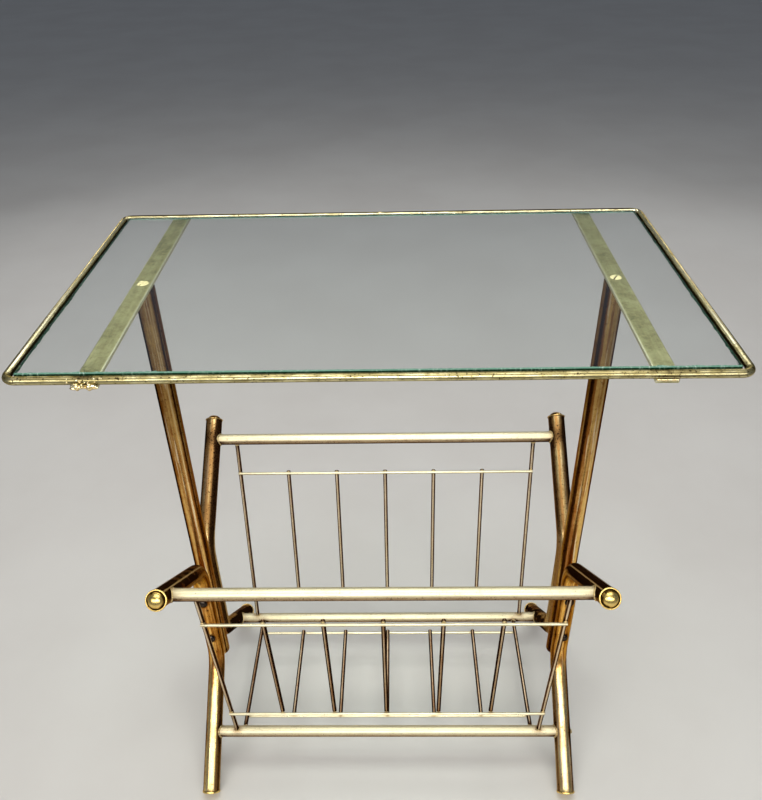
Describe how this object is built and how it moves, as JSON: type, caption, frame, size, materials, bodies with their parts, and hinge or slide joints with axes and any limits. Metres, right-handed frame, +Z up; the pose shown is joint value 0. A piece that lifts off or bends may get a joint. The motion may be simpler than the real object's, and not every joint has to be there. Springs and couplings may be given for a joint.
{
  "type": "glass-topped side table with magazine rack",
  "caption": "Bent-tube side table with a loose glass top in a rod rim and a welded-wire magazine basket slung between its splayed legs.",
  "frame": {"origin": "on the floor, under the centre of the table", "axes": "+X to the right along the table's length, +Y to the back, +Z up"},
  "size_m": [0.5384, 0.3164, 0.6],
  "materials": {
    "tube_brass": "polished, tarnished",
    "rail_brass": "polished, lightly tarnished",
    "wire_brass": "worn plating",
    "rim_brass": "polished, pitted",
    "strap_brass": "satin",
    "cap_brass": "polished",
    "fastener_brass": "worn plating",
    "clear_glass": "clear float glass, ground edge"
  },
  "bodies": {
    "frame": {"back_bottom_rail": "rail_brass", "back_leg_left": "tube_brass", "back_leg_left_foot_cap": "cap_brass", "back_leg_left_top_cap": "cap_brass", "back_leg_right": "tube_brass", "back_leg_right_foot_cap": "cap_brass", "back_leg_right_top_cap": "cap_brass", "back_panel_cross_wire_a": "wire_brass", "back_panel_cross_wire_b": "wire_brass", "back_panel_wire_1": "wire_brass", "back_panel_wire_2": "wire_brass", "back_panel_wire_3": "wire_brass", "back_panel_wire_4": "wire_brass", "back_panel_wire_5": "wire_brass", "back_panel_wire_6": "wire_brass", "back_panel_wire_7": "wire_brass", "back_top_rail": "rail_brass", "bolt_left_lower": "fastener_brass", "bolt_left_upper": "fastener_brass", "bolt_right_lower": "fastener_brass", "bolt_right_upper": "fastener_brass", "bottom_panel_cross_wire_a": "wire_brass", "bottom_panel_cross_wire_b": "wire_brass", "bottom_panel_wire_1": "wire_brass", "bottom_panel_wire_2": "wire_brass", "bottom_panel_wire_3": "wire_brass", "bottom_panel_wire_4": "wire_brass", "bottom_panel_wire_5": "wire_brass", "bottom_panel_wire_6": "wire_brass", "bottom_panel_wire_7": "wire_brass", "front_bottom_rail": "rail_brass", "front_leg_left": "tube_brass", "front_leg_left_foot_cap": "cap_brass", "front_leg_left_top_cap": "cap_brass", "front_leg_right": "tube_brass", "front_leg_right_foot_cap": "cap_brass", "front_leg_right_top_cap": "cap_brass", "front_panel_cross_wire_a": "wire_brass", "front_panel_cross_wire_b": "wire_brass", "front_panel_wire_1": "wire_brass", "front_panel_wire_2": "wire_brass", "front_panel_wire_3": "wire_brass", "front_panel_wire_4": "wire_brass", "front_panel_wire_5": "wire_brass", "front_panel_wire_6": "wire_brass", "front_panel_wire_7": "wire_brass", "front_top_rail": "rail_brass", "nut_left_lower": "fastener_brass", "nut_left_upper": "fastener_brass", "nut_right_lower": "fastener_brass", "nut_right_upper": "fastener_brass", "strap_left": "strap_brass", "strap_right": "strap_brass", "strap_screw_left": "fastener_brass", "strap_screw_right": "fastener_brass", "top_rim": "rim_brass", "upright_left": "tube_brass", "upright_right": "tube_brass"},
    "glass": {"glass_pane": "clear_glass"}
  },
  "joints": [
    {"name": "glass_lift", "type": "slide", "parent": "frame", "child": "glass", "axis": [0, 0, 1], "range_m": [0, 0.06]}
  ]
}
